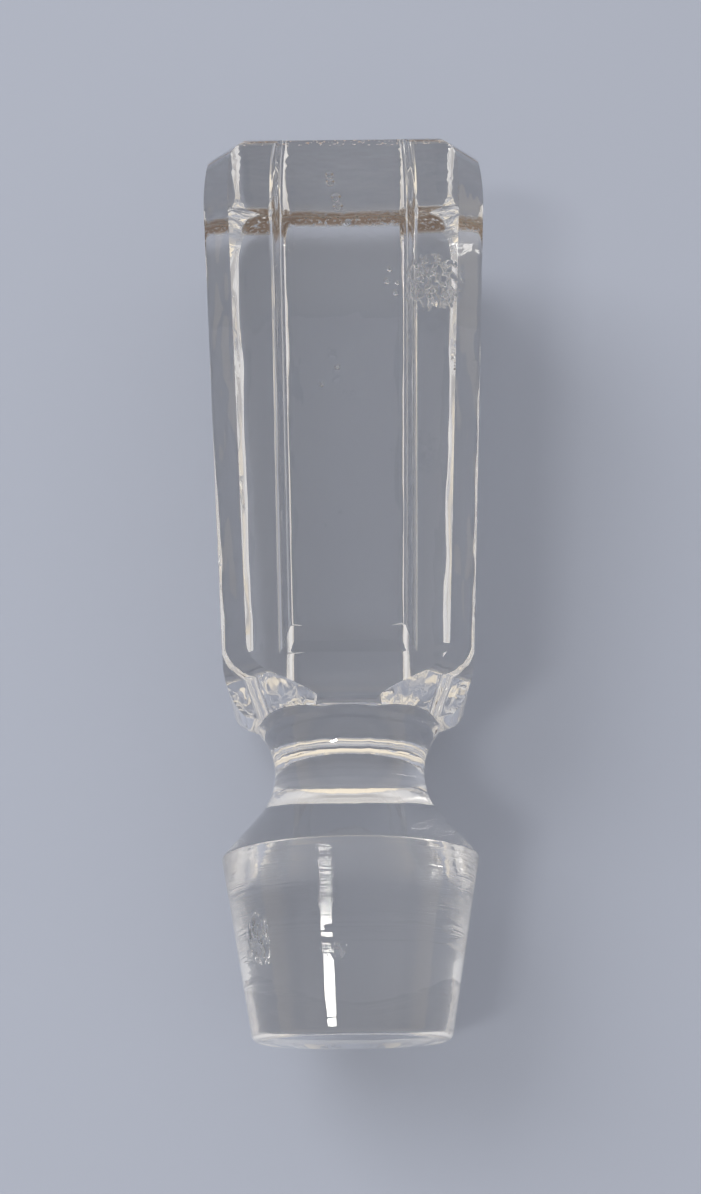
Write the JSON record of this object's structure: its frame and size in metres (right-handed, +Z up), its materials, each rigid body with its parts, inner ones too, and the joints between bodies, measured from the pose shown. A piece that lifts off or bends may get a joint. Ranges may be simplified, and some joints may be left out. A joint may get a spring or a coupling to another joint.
{
  "type": "glass stopper",
  "caption": "Clear solid glass stopper with a tall flared square head, channelled faces, a round waist and a tapered ground plug, lying on its side.",
  "frame": {"origin": "centre of the bounding box in X and Y, on the surface it rests on", "axes": "+Z up, +Y along the stopper from plug end to head end, +X across"},
  "size_m": [0.0312, 0.0966, 0.0312],
  "materials": {
    "glass": "clear polished glass, the plug finely ground"
  },
  "bodies": {
    "root": {"stopper": "glass"}
  },
  "joints": []
}
